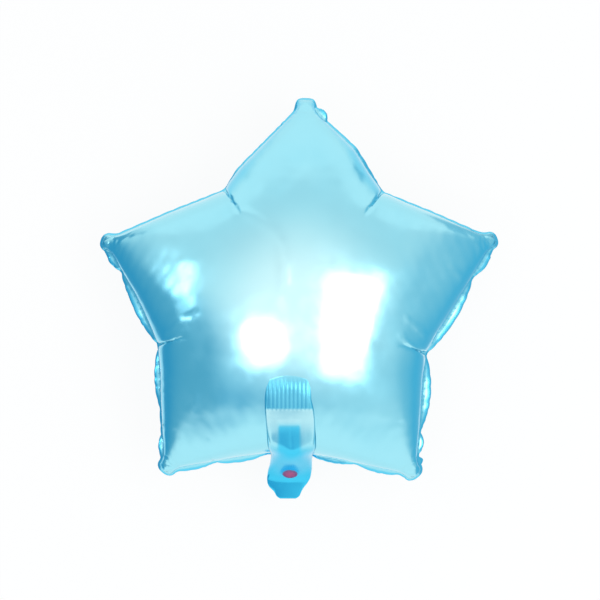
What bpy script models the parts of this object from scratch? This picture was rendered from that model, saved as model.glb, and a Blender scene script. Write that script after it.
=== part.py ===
"""Star foil balloon, inflated: two sheets of metallised film welded along a star-shaped
seam, with a ribbed valve film sealed in the lower front and a flat filling tail.

Metres, +Z up. The balloon lies on its back as it comes to rest: the front film faces +Z,
the top arm points along +Y and the tail along -Y. The origin is the middle of the small
flat spot that the back film rests on.
"""
import math

import bmesh
import bpy
import numpy as np
from mathutils import Vector

NAME = "star_foil_balloon"

# Star, seen from the front
ARM_COUNT = 5
TIP_RADIUS = 0.209
NOTCH_RADIUS = 0.144
EDGE_BOW = 0.004
EDGE_BOW_PLACE = 0.55
BOW_ROUND = 0.060
TIP_WIDTH = 0.019
TIP_ROUND = 0.006
BLUNT_LENGTH = 0.014
FLARE_ROUND = 0.015

# Sideways shift for each metre towards the top arm: the tail hangs a little off the axis
LEAN = 0.045

# Puffed form
THICKNESS = 0.172
RIDGE_POWER = 2.2
RIDGE_FULLNESS = 0.95
ARCH_POWER = 0.45
REST_RADIUS = 0.036

# Welded seam around the edge and the puckers that it gathers into
SEAM_WIDTH = 0.0035
SEAM_THICKNESS = 0.0008
SEAM_WAVE = 0.0012
LOBES_PER_EDGE = 4
LOBE_DEPTH = 0.0022
PUCKER_DEPTH = 0.0030
PUCKER_REACH = 0.012

# Crease where two arms press together at a notch
CREASE_DEPTH = 0.0055
CREASE_WIDTH = 0.006
CREASE_LENGTH = 0.034
TAIL_CREASE_SHARE = 0.2

# Ribbed band of the valve film in the lower front, measured up from the bottom notch
VALVE_RISE = 0.042
VALVE_WIDTH = 0.049
VALVE_LENGTH = 0.036
VALVE_ARCH = 0.0075
VALVE_LIFT = 0.0006
RIB_COUNT = 12
RIB_HEIGHT = 0.0007

# Filling channel: a puffed strip with two folds, from the valve down to a gap above the notch
CHANNEL_GAP = 0.010
CHANNEL_PUFF = 0.0035
CHANNEL_LAP = 0.0010
FOLD_WIDTH = 0.005
FOLD_HEIGHT = 0.0016

# The tail draws the bottom notch outwards, because the films aren't welded across it
NOTCH_PULL = 0.006
NOTCH_PULL_WIDTH = 0.042
NOTCH_PULL_REACH = 0.065

# Filling tail, pressed flat
TAIL_WIDTH = 0.043
TAIL_END_WIDTH = 0.030
TAIL_LENGTH = 0.0455
TAIL_STEP = 0.010
TAIL_PUFF = 0.030
TAIL_END_PUFF = 0.0035
TAIL_TAPER = 2.4
TAIL_DROOP = 0.010

# Fineness of the mesh
EDGE_SAMPLES = 16
FRONT_RINGS = 9
BACK_RINGS = 8
CAP_RINGS = 2
RIB_SAMPLES = 4
FILM_SINK = 0.0045

ARM_ANGLE = 2.0 * math.pi / ARM_COUNT
HALF_ANGLE = ARM_ANGLE / 2.0
VALVE_BOTTOM_Y = -NOTCH_RADIUS + VALVE_RISE


def filleted(corners, radii, step):
    """Open polyline through the corners, each inner corner rounded by its own arc."""
    points = [corners[0]]
    for i in range(1, len(corners) - 1):
        back = (corners[i - 1] - corners[i]).normalized()
        ahead = (corners[i + 1] - corners[i]).normalized()
        half = back.angle(ahead) / 2.0
        centre = corners[i] + (back + ahead).normalized() * radii[i] / math.sin(half)
        start = corners[i] + back * radii[i] / math.tan(half) - centre
        end = corners[i] + ahead * radii[i] / math.tan(half) - centre
        turn = math.atan2(start.cross(end), start.dot(end))
        count = max(3, math.ceil(abs(turn) * radii[i] / step))
        for j in range(count + 1):
            angle = turn * j / count
            spun = Vector((start.x * math.cos(angle) - start.y * math.sin(angle),
                           start.x * math.sin(angle) + start.y * math.cos(angle)))
            points.append(centre + spun)
    points.append(corners[-1])
    return np.array([[p.x, p.y] for p in points])


def edge_line():
    """Half of one arm from the middle of its tip to the notch: columns are the distance
    along the arm, the distance off its axis and the share of the edge gone by."""
    notch = Vector((NOTCH_RADIUS * math.cos(HALF_ANGLE), NOTCH_RADIUS * math.sin(HALF_ANGLE)))
    foot = Vector((TIP_RADIUS - BLUNT_LENGTH, TIP_WIDTH / 2.0))
    edge = notch - foot
    bow = foot + edge * EDGE_BOW_PLACE + Vector((-edge.y, edge.x)).normalized() * -EDGE_BOW
    corners = [Vector((TIP_RADIUS, 0.0)), Vector((TIP_RADIUS, TIP_WIDTH / 2.0)), foot, bow, notch]
    tip_round = min(TIP_ROUND, 0.49 * TIP_WIDTH, 0.9 * BLUNT_LENGTH)
    line = filleted(corners, [0.0, tip_round, FLARE_ROUND, BOW_ROUND, 0.0], tip_round / 3.0)
    along = np.concatenate([[0.0], np.cumsum(np.linalg.norm(np.diff(line, axis=0), axis=1))])
    share = (np.arange(EDGE_SAMPLES + 1) / EDGE_SAMPLES) ** 1.25
    samples = np.stack([np.interp(share * along[-1], along, line[:, 0]),
                        np.interp(share * along[-1], along, line[:, 1]),
                        share], axis=1)
    return samples


def waves(share):
    """Pucker pattern along an edge: 0 on a lobe, 1 in a pinch, fading out at the tip."""
    fade = np.clip(share / 0.15, 0.0, 1.0)
    return fade * (0.5 + 0.5 * np.cos(2.0 * math.pi * LOBES_PER_EDGE * share))


class Star:
    """The plan of the balloon and the height of its film above the seam plane."""

    def __init__(self):
        half = edge_line()
        self.rays = self.full_turn(half)
        bearing = self.rays[:, 0]
        outer = self.rays[:, 1]
        slant = self.rays[:, 2]
        self.share = self.rays[:, 3]
        self.pinch = waves(self.share)
        self.bearing = bearing
        self.outer = outer - LOBE_DEPTH * self.pinch / slant
        self.seam = self.outer - SEAM_WIDTH / slant
        seam_half = self.seam[:EDGE_SAMPLES + 1]
        turn = half_bearing(half)
        self.arm_u = (seam_half * np.cos(turn))[::-1]
        self.arm_v = (seam_half * np.sin(turn))[::-1]
        self.edge_slope = NOTCH_RADIUS * math.sin(HALF_ANGLE) / (TIP_RADIUS - self.arm_u[0])
        self.wave = SEAM_WAVE * np.sin(2.0 * math.pi * LOBES_PER_EDGE * self.share) * (1.0 - self.share)
        rest_x = REST_RADIUS * np.cos(self.bearing)
        rest_y = REST_RADIUS * np.sin(self.bearing)
        self.seam_height = float(self.height(rest_x, rest_y).min())

    def full_turn(self, half):
        """Rays round the whole star: bearing, outer radius, slant of the edge, edge share."""
        turn = half_bearing(half)
        radius = np.hypot(half[:, 0], half[:, 1])
        step = np.gradient(half[:, :2], axis=0)
        normal = np.stack([step[:, 1], -step[:, 0]], axis=1)
        normal /= np.linalg.norm(normal, axis=1)[:, None]
        slant = np.abs((normal * half[:, :2]).sum(axis=1)) / radius
        slant = np.clip(slant, 0.55, 1.0)
        rays = []
        for arm in range(ARM_COUNT):
            axis = math.pi / 2.0 + arm * ARM_ANGLE
            for i in range(EDGE_SAMPLES):
                rays.append((axis + turn[i], radius[i], slant[i], half[i, 2]))
            for i in range(EDGE_SAMPLES, 0, -1):
                rays.append((axis + ARM_ANGLE - turn[i], radius[i], slant[i], half[i, 2]))
        return np.array(rays)

    def height(self, x, y):
        """Height of the film above the seam plane, without puckers."""
        radius = np.hypot(x, y)
        bearing = np.arctan2(y, x) - math.pi / 2.0
        off = (bearing + HALF_ANGLE) % ARM_ANGLE - HALF_ANGLE
        u = radius * np.cos(off)
        v = radius * np.abs(np.sin(off))
        inside = self.arm_v[0] + (self.arm_u[0] - u) * self.edge_slope
        width = np.where(u > self.arm_u[0], np.interp(u, self.arm_u, self.arm_v), inside)
        width = np.maximum(width, 0.0001)
        tip = self.arm_u[-1]
        ridge = np.clip(1.0 - (u / tip) ** RIDGE_POWER, 0.0, 1.0) ** RIDGE_FULLNESS
        across = np.clip(1.0 - (v / width) ** 2, 0.0, 1.0) ** ARCH_POWER
        full = THICKNESS / 2.0 * ridge * across
        notch = np.hypot(self.arm_u[0], self.arm_v[0])
        near = np.clip((radius - notch + CREASE_LENGTH) / CREASE_LENGTH, 0.0, 1.0)
        from_crease = radius * np.sin(HALF_ANGLE - np.abs(off))
        groove = CREASE_DEPTH * near ** 2 * np.exp(-(from_crease / CREASE_WIDTH) ** 2)
        at_tail = np.abs(bearing + math.pi) < HALF_ANGLE
        groove = np.where(at_tail, TAIL_CREASE_SHARE, 1.0) * groove
        return np.maximum(full - groove * across, 0.0)


def half_bearing(half):
    return np.arctan2(half[:, 1], half[:, 0])


def placed(star, x, y, z):
    """A point of the plan and its height over the seam plane, in the part's own frame."""
    share = min(max((NOTCH_PULL_REACH - NOTCH_RADIUS - y) / NOTCH_PULL_REACH, 0.0), 1.0)
    y -= NOTCH_PULL * share * share * (3.0 - 2.0 * share) * math.exp(-(x / NOTCH_PULL_WIDTH) ** 4)
    return Vector((x + LEAN * y, y, z + star.seam_height))


def ring(star, blend, inner, side):
    """One ring of film points, from a circle at blend 0 to the seam at blend 1."""
    radius = inner + (star.seam - inner) * blend
    x = radius * np.cos(star.bearing)
    y = radius * np.sin(star.bearing)
    from_seam = star.seam - radius
    dent = PUCKER_DEPTH * star.pinch * np.exp(-from_seam / PUCKER_REACH)
    film = SEAM_THICKNESS / 2.0
    height = np.maximum(star.height(x, y) - dent, 0.0) + film
    wave = star.wave * np.exp(-from_seam / PUCKER_REACH)
    return [(x[i], y[i], side * height[i] + wave[i]) for i in range(len(x))]


def loft(bm, star, loops):
    """Quads between the loops in turn; every loop has the same number of points."""
    made = [[bm.verts.new(placed(star, *point)) for point in loop] for loop in loops]
    for lower, upper in zip(made, made[1:]):
        for i in range(len(lower)):
            j = (i + 1) % len(lower)
            bm.faces.new((lower[i], lower[j], upper[j], upper[i]))
    return made


def envelope_mesh(star):
    """Back film from its rest spot out to the seam, round the welded edge, front film in."""
    loops = []
    for k in range(BACK_RINGS + 1):
        blend = math.sin(math.pi / 2.0 * k / BACK_RINGS)
        loops.append(ring(star, blend, REST_RADIUS, -1.0))
    loops[0] = [(x, y, -star.seam_height) for x, y, z in loops[0]]
    film = SEAM_THICKNESS / 2.0
    x = star.outer * np.cos(star.bearing)
    y = star.outer * np.sin(star.bearing)
    loops.append([(x[i], y[i], star.wave[i] - film) for i in range(len(x))])
    loops.append([(x[i], y[i], star.wave[i] + film) for i in range(len(x))])
    for k in range(FRONT_RINGS, -1, -1):
        blend = math.sin(math.pi / 2.0 * k / FRONT_RINGS)
        loops.append(ring(star, blend, REST_RADIUS, 1.0))
    for k in range(CAP_RINGS, 0, -1):
        loops.append(ring(star, 0.0, REST_RADIUS * k / (CAP_RINGS + 1), 1.0))
    bm = bmesh.new()
    made = loft(bm, star, loops)
    bm.faces.new(list(reversed(made[0])))
    bm.faces.new(made[-1])
    return bm


def rim_of(grid):
    """The points round the rim of a grid, in order."""
    right = [row[-1] for row in grid[1:-1]]
    left = [row[0] for row in grid[-2:0:-1]]
    return grid[0] + right + grid[-1][::-1] + left


def film_strip(star, columns, rows, lift):
    """Closed strip that follows the front film: lift(x, y) over it, sunk a little into it.
    columns holds x values and rows gives y for a column and a row share."""
    bm = bmesh.new()
    tops = []
    bottoms = []
    for y_of in rows:
        top_row = []
        bottom_row = []
        for x in columns:
            y = y_of(x)
            base = float(star.height(np.float64(x), np.float64(y)))
            top_row.append(bm.verts.new(placed(star, x, y, base + lift(x))))
            bottom_row.append(bm.verts.new(placed(star, x, y, base - FILM_SINK)))
        tops.append(top_row)
        bottoms.append(bottom_row)
    for i in range(len(tops) - 1):
        for j in range(len(columns) - 1):
            bm.faces.new((tops[i][j], tops[i + 1][j], tops[i + 1][j + 1], tops[i][j + 1]))
            bm.faces.new((bottoms[i][j], bottoms[i][j + 1], bottoms[i + 1][j + 1], bottoms[i + 1][j]))
    rim_top = rim_of(tops)
    rim_bottom = rim_of(bottoms)
    for i in range(len(rim_top)):
        j = (i + 1) % len(rim_top)
        bm.faces.new((rim_top[i], rim_top[j], rim_bottom[j], rim_bottom[i]))
    return bm


def valve_mesh(star):
    """Ribbed band of the sealed-in valve film, arched along its upper edge."""
    count = RIB_COUNT * RIB_SAMPLES
    columns = [VALVE_WIDTH * (i / count - 0.5) for i in range(count + 1)]
    pitch = VALVE_WIDTH / RIB_COUNT

    def lift(x):
        return VALVE_LIFT + RIB_HEIGHT * abs(math.sin(math.pi * (x + VALVE_WIDTH / 2.0) / pitch))

    def row(share):
        def y_of(x):
            arch = VALVE_ARCH * (2.0 * x / VALVE_WIDTH) ** 2
            return VALVE_BOTTOM_Y + (VALVE_LENGTH - arch) * (1.0 - share)
        return y_of

    return film_strip(star, columns, [row(k / 4.0) for k in range(5)], lift)


def channel_mesh(star):
    """Puffed strip between the folds, from under the valve down to the bottom notch."""
    columns = [VALVE_WIDTH * (i / 12.0 - 0.5) for i in range(13)]
    start = VALVE_BOTTOM_Y + CHANNEL_LAP
    length = VALVE_RISE + CHANNEL_LAP - SEAM_WIDTH * 2.0

    def lift(x):
        return CHANNEL_PUFF * (1.0 - (2.0 * x / VALVE_WIDTH) ** 8) + VALVE_LIFT / 4.0

    def row(share):
        def y_of(x):
            return start - length * share
        return y_of

    return film_strip(star, columns, [row(k / 8.0) for k in range(9)], lift)


def fold_mesh(star, side):
    """One raised fold of the filling channel, from the valve down towards the tail."""
    middle = side * (VALVE_WIDTH - FOLD_WIDTH) / 2.0
    columns = [middle + FOLD_WIDTH * (i / 4.0 - 0.5) for i in range(5)]
    length = VALVE_RISE - CHANNEL_GAP

    def lift(x):
        off = 2.0 * (x - middle) / FOLD_WIDTH
        return CHANNEL_PUFF * 0.6 + FOLD_HEIGHT * (1.0 - off * off) + VALVE_LIFT / 2.0

    def row(share):
        def y_of(x):
            return VALVE_BOTTOM_Y - length * share
        return y_of

    return film_strip(star, columns, [row(k / 6.0) for k in range(7)], lift)


def tail_half_width(gone):
    """Half width of the tail at a share of its length, from the seam to its end."""
    step = 1.0 - TAIL_STEP / TAIL_LENGTH
    ease = min(max((gone - step + 0.22) / 0.18, 0.0), 1.0)
    ease = ease * ease * (3.0 - 2.0 * ease)
    width = TAIL_WIDTH + (TAIL_END_WIDTH - TAIL_WIDTH) * ease
    end = max((gone - step) / (1.0 - step), 0.0)
    return width / 2.0 * (0.45 + 0.55 * math.sqrt(max(1.0 - end * end, 0.0)))


def tail_mesh(star):
    """Flat tail, lens-shaped in section, from inside the body down to its rounded end."""
    start = -star.seam.min() + SEAM_WIDTH * 2.0
    end = -NOTCH_RADIUS - TAIL_LENGTH
    across = 8
    stations = 14
    bm = bmesh.new()
    loops = []
    for k in range(stations + 1):
        gone = 1.0 - (1.0 - k / stations) ** 1.4
        y = start + (end - start) * gone
        half = tail_half_width(max((-y - NOTCH_RADIUS) / TAIL_LENGTH, 0.0))
        puff = (TAIL_END_PUFF + (TAIL_PUFF - TAIL_END_PUFF) * (1.0 - gone) ** TAIL_TAPER) / 2.0
        sunk = TAIL_DROOP * max((-y - NOTCH_RADIUS) / TAIL_LENGTH, 0.0) ** 1.4
        film = SEAM_THICKNESS / 2.0
        offs = [2.0 * i / across - 1.0 for i in range(across + 1)]
        upper = [(half * t, y, film + puff * (1.0 - t * t) - sunk) for t in offs]
        lower = [(half * t, y, -film - puff * (1.0 - t * t) - sunk) for t in reversed(offs)]
        loops.append(upper + lower)
    made = loft(bm, star, loops)
    bm.faces.new(list(reversed(made[0])))
    bm.faces.new(made[-1])
    return bm


def to_object(bm, name, collection):
    bmesh.ops.recalc_face_normals(bm, faces=bm.faces)
    mesh = bpy.data.meshes.new(name)
    bm.to_mesh(mesh)
    bm.free()
    obj = bpy.data.objects.new(name, mesh)
    collection.objects.link(obj)
    return obj


def foil_material():
    material = bpy.data.materials.new("sky_blue_foil")
    material.use_nodes = True
    shader = material.node_tree.nodes["Principled BSDF"]
    shader.inputs["Base Color"].default_value = (0.16, 0.66, 0.83, 1.0)
    shader.inputs["Metallic"].default_value = 1.0
    shader.inputs["Roughness"].default_value = 0.22
    return material


def join(target, tool_collection):
    """Union of the target with every object of the collection, kept as a modifier."""
    modifier = target.modifiers.new("welded_on", "BOOLEAN")
    modifier.operation = "UNION"
    modifier.operand_type = "COLLECTION"
    modifier.collection = tool_collection
    modifier.solver = "EXACT"


def main():
    for obj in list(bpy.data.objects):
        bpy.data.objects.remove(obj)
    scene = bpy.context.scene
    parts = bpy.data.collections.new(NAME)
    scene.collection.children.link(parts)
    details = bpy.data.collections.new("welded_on_details")
    scene.collection.children.link(details)

    star = Star()
    envelope = to_object(envelope_mesh(star), "foil_envelope", parts)
    envelope.data.materials.append(foil_material())
    to_object(valve_mesh(star), "valve_film", details)
    to_object(channel_mesh(star), "channel", details)
    to_object(fold_mesh(star, -1.0), "left_fold", details)
    to_object(fold_mesh(star, 1.0), "right_fold", details)
    to_object(tail_mesh(star), "tail", details)
    for detail in details.objects:
        detail.hide_render = True
        detail.display_type = "WIRE"
    join(envelope, details)
    envelope.data.shade_smooth()
    envelope.data.set_sharp_from_angle(angle=math.radians(40.0))


main()
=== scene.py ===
"""Looks of the star foil balloon: the film is cut flat, welded along its seam, blown up by
a small film solver, and dressed with its valve band, printed mark and tinted foil finish, whose
tint also holds painted highlights and painted shade."""
import math

import bpy
import numpy as np
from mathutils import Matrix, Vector
from mathutils.bvhtree import BVHTree
from mathutils.geometry import delaunay_2d_cdt

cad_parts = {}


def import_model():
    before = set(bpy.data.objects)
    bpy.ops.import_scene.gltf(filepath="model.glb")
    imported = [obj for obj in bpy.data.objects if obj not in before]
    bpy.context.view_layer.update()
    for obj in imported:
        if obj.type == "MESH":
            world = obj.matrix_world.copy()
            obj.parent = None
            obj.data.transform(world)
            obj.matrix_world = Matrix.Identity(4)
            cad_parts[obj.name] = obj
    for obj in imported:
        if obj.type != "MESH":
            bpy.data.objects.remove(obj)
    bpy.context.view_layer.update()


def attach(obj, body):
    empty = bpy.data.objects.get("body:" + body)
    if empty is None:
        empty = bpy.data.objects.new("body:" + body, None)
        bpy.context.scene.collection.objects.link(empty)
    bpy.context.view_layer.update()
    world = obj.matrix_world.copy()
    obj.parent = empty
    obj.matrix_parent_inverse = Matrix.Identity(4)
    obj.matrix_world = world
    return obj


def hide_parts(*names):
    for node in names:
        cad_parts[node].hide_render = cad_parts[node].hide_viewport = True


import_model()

# Flat pattern of the two films, in metres, measured along and off the axis of an arm
ARM_COUNT = 5
HALF_ANGLE = math.pi / ARM_COUNT
FLAT_TIP = 0.230
FLAT_TIP_WIDTH = 0.014
FLAT_TIP_ROUND = 0.004
FLAT_NOTCH = 0.180
FLAT_NOTCH_ROUND = 0.004

# Film solver
SEAM_SPACING = 0.0042
FINEST = 0.0036
EDGE_BAND = 0.026
CREASE_BAND = 0.006
STEPS = 700
PRESSURE = 0.5
KEPT_SPEED = 0.98
GIVE = 0.05
SMOOTHING = 0.05

# Outline of the blown-up star, in metres from the origin: tips and notches, counterclockwise
TIPS = ((0.009, 0.2065), (-0.197, 0.064), (-0.135, -0.169), (0.121, -0.174), (0.201, 0.066))
NOTCHES = ((-0.073, 0.115), (-0.140, -0.041), (-0.008, -0.148), (0.130, -0.050), (0.086, 0.113))
TIP_WIDTHS = (0.0215, 0.019, 0.021, 0.022, 0.019)
TIP_ROUNDS = (0.0030, 0.0065, 0.0070, 0.0075, 0.0065)
TIP_LENGTH = 0.012
FLARE_ROUND = 0.014
# Fullest place of each edge, from tip to notch, and how far it stands out: edge before, edge after
SHOULDERS = (((0.52, 0.0065), (0.78, 0.0045)), ((0.50, 0.0010), (0.50, -0.0020)),
             ((0.50, 0.0005), (0.50, -0.0010)), ((0.50, -0.0010), (0.50, 0.0005)),
             ((0.50, 0.0005), (0.50, 0.0008)))
SHOULDER_ROUND = 0.05
NOTCH_ROUND = 0.006
THICKNESS = 0.172
REST_SINK = 0.0030
FLANGE = 0.0027
FLANGE_TILT = 0.85
FILM_GAP = 0.0004

# Lobes of the welded edge: arm, side, start and end from tip to notch, how far out and up
LOBES = ((0, -1, 0.12, 0.27, 0.0055, 0.0020), (0, -1, 0.27, 0.95, 0.0012, -0.0010),
         (4, -1, 0.08, 0.33, 0.0050, 0.0000), (4, -1, 0.36, 0.99, 0.0066, 0.0004),
         (3, 1, 0.40, 0.98, 0.0068, 0.0004), (3, 1, 0.21, 0.37, 0.0034, 0.0020),
         (3, 1, 0.11, 0.18, 0.0036, -0.0020), (3, -1, 0.14, 0.47, 0.0034, -0.0030),
         (3, -1, 0.50, 0.82, 0.0030, 0.0020), (1, 1, 0.08, 0.30, 0.0046, 0.0008),
         (1, 1, 0.34, 0.98, 0.0060, 0.0010), (2, -1, 0.52, 0.96, 0.0040, 0.0010),
         (2, -1, 0.12, 0.30, 0.0030, 0.0020), (2, 1, 0.10, 0.40, 0.0030, -0.0020),
         (2, 1, 0.44, 0.80, 0.0036, -0.0020))
SMALL_LOBE = (0.05, 0.14)
SMALL_LOBE_OUT = 0.0007
LOBE_REACH = 0.0020

# Creases: arm, side, place from tip to notch, length, depth, on the front film
PUCKERS = ((4, -1, 0.34, 0.020, 0.0022), (4, -1, 0.82, 0.030, 0.0024), (4, -1, 0.93, 0.018, 0.0018),
           (3, 1, 0.39, 0.022, 0.0022), (3, 1, 0.20, 0.018, 0.0018), (3, -1, 0.48, 0.022, 0.0020),
           (1, 1, 0.32, 0.022, 0.0022), (1, 1, 0.45, 0.014, 0.0012), (1, 1, 0.70, 0.014, 0.0012),
           (2, -1, 0.62, 0.014, 0.0014), (2, -1, 0.50, 0.014, 0.0014), (2, -1, 0.27, 0.016, 0.0014),
           (2, 1, 0.42, 0.034, 0.0030), (0, -1, 0.25, 0.014, 0.0014), (0, 1, 0.30, 0.010, 0.0008))
BACK_PUCKERS = 34
BACK_PUCKER_LENGTH = (0.012, 0.030)
BACK_PUCKER_DEPTH = (0.0008, 0.0020)
PUCKER_WIDTH = 0.0022
NOTCH_CREASE_LENGTH = 0.034
NOTCH_CREASE_DEPTH = 0.0050
NOTCH_CREASE_WIDTH = 0.0024
NOTCH_PINCH = 0.0045
PINCH_NEAR = 0.008
PINCH_FAR = 0.024
BOTTOM_NOTCH = 2
BOTTOM_NOTCH_SHARE = 0.25

# Fine lines on the front film: start, end, height
LINES = (((0.152, 0.036), (0.165, 0.024), 0.0006), ((0.107, -0.014), (0.128, -0.031), 0.0008),
         ((0.102, -0.031), (0.114, -0.039), 0.0007), ((0.122, -0.041), (0.132, -0.050), -0.0006),
         ((0.102, -0.113), (0.118, -0.114), 0.0006), ((-0.110, -0.013), (-0.097, -0.008), -0.0005),
         ((-0.134, -0.028), (-0.112, -0.016), 0.0006), ((-0.087, -0.136), (-0.086, -0.154), 0.0007),
         ((-0.136, -0.074), (-0.126, -0.075), 0.0006), ((-0.136, -0.086), (-0.127, -0.086), 0.0006),
         ((-0.134, -0.120), (-0.123, -0.121), 0.0006), ((-0.098, -0.088), (-0.105, -0.108), 0.0005))
LINE_WIDTH = 0.0016

# Soft ridge from the end of the upper left crease to the middle of the front film
RIDGE = ((-0.054, 0.090), (-0.043, 0.085), (-0.030, 0.077), (-0.022, 0.069), (-0.0166, 0.060),
         (-0.0140, 0.049), (-0.0126, 0.040), (-0.0126, 0.020), (-0.0130, -0.010))
RIDGE_HEIGHT = 0.0011
RIDGE_WIDTH = 0.0060
RIDGE_FADE = 0.04

# How far the film near its seam is moved out, and where that begins and ends to fade
FILL_OUT = 0.014
FILL_NEAR = 0.012
FILL_FAR = 0.048

# Valve band, channel and filling tail: y, left edge, right edge
BAND_EDGES = ((-0.066, -0.0320, 0.0160), (-0.090, -0.0326, 0.0150), (-0.102, -0.0322, 0.0172),
              (-0.112, -0.0316, 0.0184), (-0.130, -0.0300, 0.0192), (-0.142, -0.0290, 0.0192),
              (-0.149, -0.0262, 0.0165), (-0.153, -0.0262, 0.0152), (-0.160, -0.0272, 0.0152),
              (-0.166, -0.0290, 0.0150), (-0.1746, -0.0302, 0.0134), (-0.180, -0.0298, 0.0104),
              (-0.184, -0.0280, 0.0070), (-0.188, -0.0234, 0.0046), (-0.191, -0.0216, 0.0034),
              (-0.1935, -0.0208, 0.0026), (-0.195, -0.0196, 0.0012), (-0.1957, -0.0172, -0.0012))
BAND_TOP = -0.066
BAND_END = -0.102
BAND_ARCH = 0.0075
BAND_LEFT = -0.0322
TAIL_END = -0.1957
RIB_PITCH = 0.0040
RIB_HEIGHT = 0.00028
CHANNEL_RISE = ((0.066, 0.085, 0.102, 0.110, 0.118, 0.135, 0.150),
                (0.0001, 0.0008, 0.0018, 0.0015, 0.0014, 0.0022, 0.0030))
STRIP_LEFT = -0.0190
STRIP_RIGHT = 0.0040
STRIP_TOP = -0.116
STRIP_SINK = 0.0003
EDGE_SINK = 0.0012
BAND_DEPTH = 0.003
BAND_SQUARENESS = 14
TAIL_ROUNDNESS = 0.6
TAIL_UNDER = 0.8
NECK_START = 0.136
NECK_END = 0.152
TAIL_BEND = 0.142
TAIL_DROOP = 0.013
TAIL_PUFF = ((0.060, 0.160, 0.170, 0.184, 0.1957),
             (0.0034, 0.0034, 0.0028, 0.0018, 0.0006))
NECK_TOP = 0.118
NECK_EASE = 14
NECK_FOOT = 0.177
NECK_BEND = 0.45
SLOPE_EASE = 0.25
FOLD_HEIGHT = 0.0005
FOLD_PITCH = 0.0135
FOLD_PLACE = -0.0065
EDGE_EASE = 2
COLUMNS = 96
ROW_STEP = 0.0012

# Tint of the film, from deep (0) to pale (1), and its colours. Besides the film's own tint it
# carries painted light: a painted highlight on the crown and below the ribs, painted shade on the
# flanks, the welded edge, the ribs and in the creases along the band
# The pale crown, out to these distances from the middle, is a painted highlight; flanks tilted this
# far to the left or right get painted shade
CROWN_HIGHLIGHT_START = 0.015
CROWN_HIGHLIGHT_END = 0.115
FLANK_SHADE_TILT = (0.40, 0.80)
# Painted shade in the creases along the band's sides
PAINTED_CREASE_SHADE = 0.0
TINT_TAIL = 0.15
# Painted shade on the flanks that face left or right
PAINTED_FLANK_SHADE = 0.28
# Painted shade on the welded edge
PAINTED_FLANGE_SHADE = 0.26
# Painted shade over the ribs of the valve band
PAINTED_RIB_SHADE = 0.34
TINT_FIELD = 0.20
# Painted highlight in a pale band just below the ribs
PAINTED_BAND_HIGHLIGHT = 0.78
TINT_FILM = 0.5
# Share of the band's half width from which the painted crease shade begins
CREASE_SHADE_START = 0.93
# Where these change down the band, as distances below the middle of the star: the painted highlight
# below the ribs, the deeper tail, and the top and end of the painted shade in the side creases
BAND_HIGHLIGHT_FADE = (0.112, 0.136)
TAIL_TINT_FADE = (0.136, 0.150)
CREASE_SHADE_TOP_FADE = (0.078, 0.088)
CREASE_SHADE_END_FADE = (0.148, 0.156)
TINT_COLOURS = ((0.0, (0.02, 0.30, 0.46, 1.0)), (0.16, (0.06, 0.62, 0.92, 1.0)),
                (0.3, (0.15, 0.66, 0.88, 1.0)), (0.5, (0.36, 0.80, 0.92, 1.0)),
                (1.0, (0.57, 0.86, 0.91, 1.0)))
TINT_NOISE = 0.06

# Finish of the film; each noise as (scale, detail)
CLOUD_NOISE = (26.0, 3.0)
ROUGH_NOISE = (60.0, 3.0)
ROUGHNESS = (0.15, 0.23)
BUMP_NOISE = (34.0, 1.0)
BUMP_STRENGTH = 0.25
BUMP_HEIGHT = 0.0006

# Printed mark on the tail
MARK_MIDDLE = (-0.007, -0.170)
MARK_SIZE = (0.0150, 0.0090)
MARK_COLOUR = (0.46, 0.06, 0.19, 1.0)
MARK_RIM = (0.13, 0.04, 0.17, 1.0)
RAGGED_NOISE = (900.0, 3.0)
SPECKLE_NOISE = (1400.0, 2.0)
INK_ROUGHNESS = 0.42
INK_METALLIC = 0.25

# Light of the studio, as seen in the foil
ENV_WALL = (1.03, 1.03, 1.03, 1.0)
ENV_OVERHEAD = (1.14, 1.13, 1.11, 1.0)
ENV_TOP = (0.83, 0.87, 0.89, 1.0)
ENV_LOW_LEFT = (0.28, 0.54, 0.70, 1.0)
ENV_LOW_RIGHT = (0.72, 0.83, 0.88, 1.0)
ENV_LEFT = (0.20, 0.46, 0.60, 1.0)
ENV_RIGHT = (0.40, 0.65, 0.76, 1.0)
# Where each begins and ends: the walls as slopes against Y, the rest as parts of a direction
# of length 1
WALL_RISE = (0.80, 0.71)
WALL_WIDTH = (1.35, 0.90)
LOW_SPREAD = (-0.40, 0.40)
TOP_SPREAD = (-0.20, 0.20)
OVERHEAD_STRETCH = 0.8
OVERHEAD_SPREAD = (0.74, 0.14)
LEFT_TURN = 0.35
LEFT_SPREAD = (0.58, 0.90)
RIGHT_SPREAD = (0.66, 0.88)

# Floor, as seen in the foil: white within this far of a middle line, wider further along Y
SHEET_WHITE = (1.0, 1.0, 1.0, 1.0)
SHEET_MIDDLE = -0.03
SHEET_EDGE = 0.20
SHEET_FADE = 0.04
FLOOR_HALF = 4.0
FLOOR_COLOUR = (0.85, 0.85, 0.85, 1.0)
FLOOR_ROUGHNESS = 0.9
# Share of the floor's colour that the camera sees as plain white; the rest takes the shadow
FLOOR_GLOW = 0.9

# Lamps, all white: name, place, aim, size, watts, shape
LAMPS = (("overhead_right", (0.78, -0.29, 1.68), (0.78, -0.29, 0.0), (0.88, 1.25), 9.5,
          "RECTANGLE"),
         ("overhead_left", (-0.41, -0.42, 1.68), (-0.41, -0.42, 0.0), (0.62, 0.58), 2.6, "ELLIPSE"),
         ("side_left", (-1.00, 0.22, 0.87), (0.0, 0.0, 0.08), (0.62, 0.17), 0.68, "ELLIPSE"))

# Camera over the object: its distance from the middle of the thickness, and the picture's
# width there
CAMERA_DISTANCE = 2.6
CAMERA_WIDTH = 0.6
CAMERA_PLACE = (0.003, 0.004)
SENSOR_WIDTH = 36.0


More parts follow.
